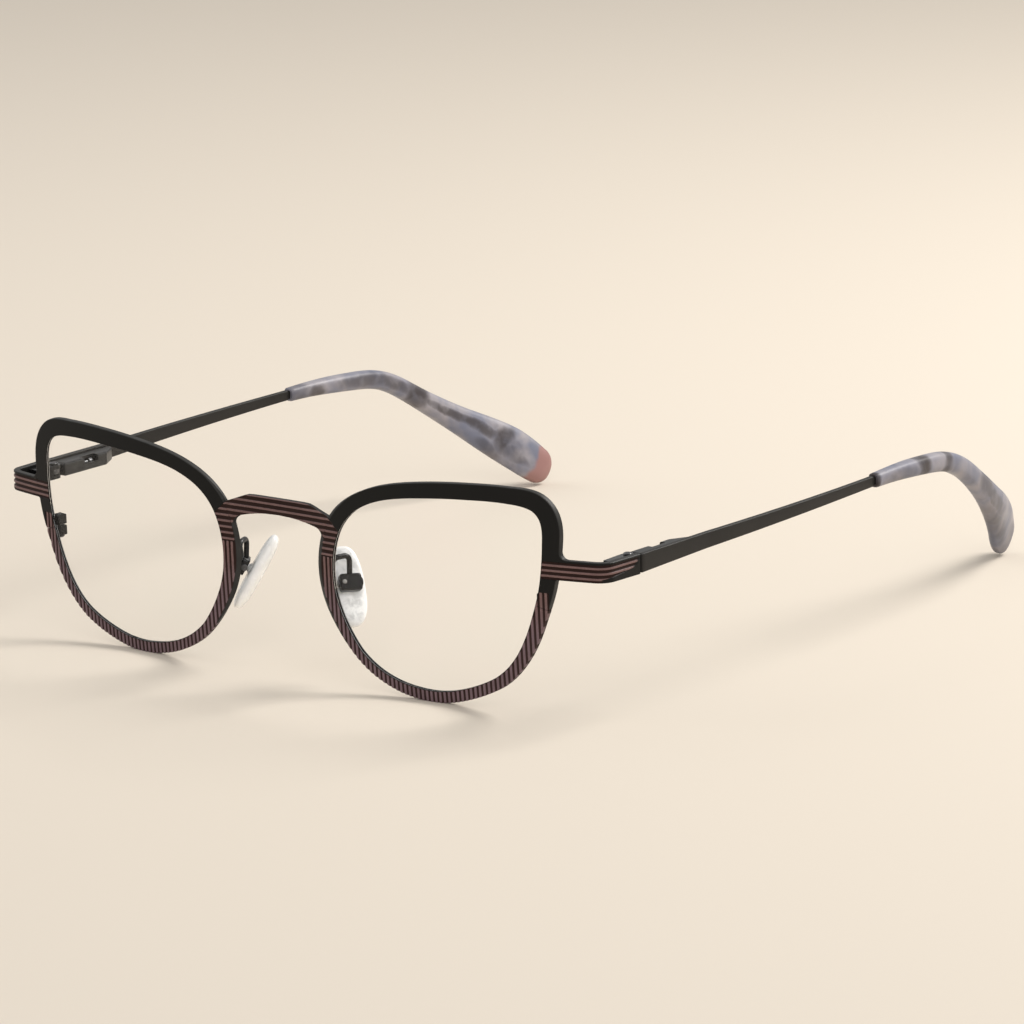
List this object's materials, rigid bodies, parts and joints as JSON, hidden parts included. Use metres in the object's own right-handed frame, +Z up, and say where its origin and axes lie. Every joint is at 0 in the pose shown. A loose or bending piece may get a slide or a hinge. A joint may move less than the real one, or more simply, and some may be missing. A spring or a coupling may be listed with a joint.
{
  "type": "cat eye glasses",
  "caption": "Cat eye glasses with a milled metal front, adjustable nose pads, spring-hinged temples and marbled acetate tips.",
  "frame": {"origin": "centre of the plan, at the height of the surface the glasses stand on", "axes": "+X to the wearer's left, +Y back along the temples towards the ears, +Z up"},
  "size_m": [0.1372, 0.1576, 0.0408],
  "materials": {
    "milled_black": "matte black with brown-mauve milled stripes",
    "clear_lens": "clear, polished",
    "black_fittings": "satin black",
    "hinge_steel": "satin",
    "grey_housing": "satin grey",
    "charcoal_temple": "matte charcoal",
    "marbled_acetate": "polished, marbled grey and white",
    "clear_silicone": "soft, clear to white"
  },
  "bodies": {
    "front": {"front": "milled_black", "left_lens": "clear_lens", "left_lock_upper": "black_fittings", "left_lock_lower": "black_fittings", "left_lock_screw": "hinge_steel", "left_front_hinge": "black_fittings", "left_hinge_screw": "hinge_steel", "left_pad_box": "black_fittings", "left_pad_screw": "hinge_steel", "left_pad_arm": "black_fittings", "right_lens": "clear_lens", "right_lock_upper": "black_fittings", "right_lock_lower": "black_fittings", "right_lock_screw": "hinge_steel", "right_front_hinge": "black_fittings", "right_hinge_screw": "hinge_steel", "right_pad_box": "black_fittings", "right_pad_screw": "hinge_steel", "right_pad_arm": "black_fittings"},
    "left_slider": {"left_hinge_slider": "hinge_steel", "left_spring_nut": "hinge_steel"},
    "left_temple": {"left_hinge_housing": "grey_housing", "left_hinge_spring": "hinge_steel", "left_housing_plug": "grey_housing", "left_temple": "charcoal_temple", "left_temple_tip": "marbled_acetate"},
    "left_pad": {"left_nose_pad": "clear_silicone"},
    "right_slider": {"right_hinge_slider": "hinge_steel", "right_spring_nut": "hinge_steel"},
    "right_temple": {"right_hinge_housing": "grey_housing", "right_hinge_spring": "hinge_steel", "right_housing_plug": "grey_housing", "right_temple": "charcoal_temple", "right_temple_tip": "marbled_acetate"},
    "right_pad": {"right_nose_pad": "clear_silicone"}
  },
  "joints": [
    {"name": "left_fold", "type": "hinge", "parent": "front", "child": "left_slider", "pos_m": [0.0648, -0.0621, 0.02688], "axis": [0, 0, 1], "range_deg": [-8, 90]},
    {"name": "left_spring", "type": "slide", "parent": "left_slider", "child": "left_temple", "axis": [0, 1, 0], "range_m": [0, 0.0008], "stiffness_N_per_m": 800, "springref_m": -0.001},
    {"name": "left_pad_rock", "type": "hinge", "parent": "front", "child": "left_pad", "pos_m": [0.012, -0.07265, 0.0181], "axis": [0.5998, 0.7997, -0.0267], "range_deg": [-12, 12]},
    {"name": "right_fold", "type": "hinge", "parent": "front", "child": "right_slider", "pos_m": [-0.0648, -0.0621, 0.02688], "axis": [0, 0, -1], "range_deg": [-8, 84]},
    {"name": "right_spring", "type": "slide", "parent": "right_slider", "child": "right_temple", "axis": [0, 1, 0], "range_m": [0, 0.0008], "stiffness_N_per_m": 800, "springref_m": -0.001},
    {"name": "right_pad_rock", "type": "hinge", "parent": "front", "child": "right_pad", "pos_m": [-0.012, -0.07265, 0.0181], "axis": [-0.5998, 0.7997, -0.0267], "range_deg": [-12, 12]}
  ]
}
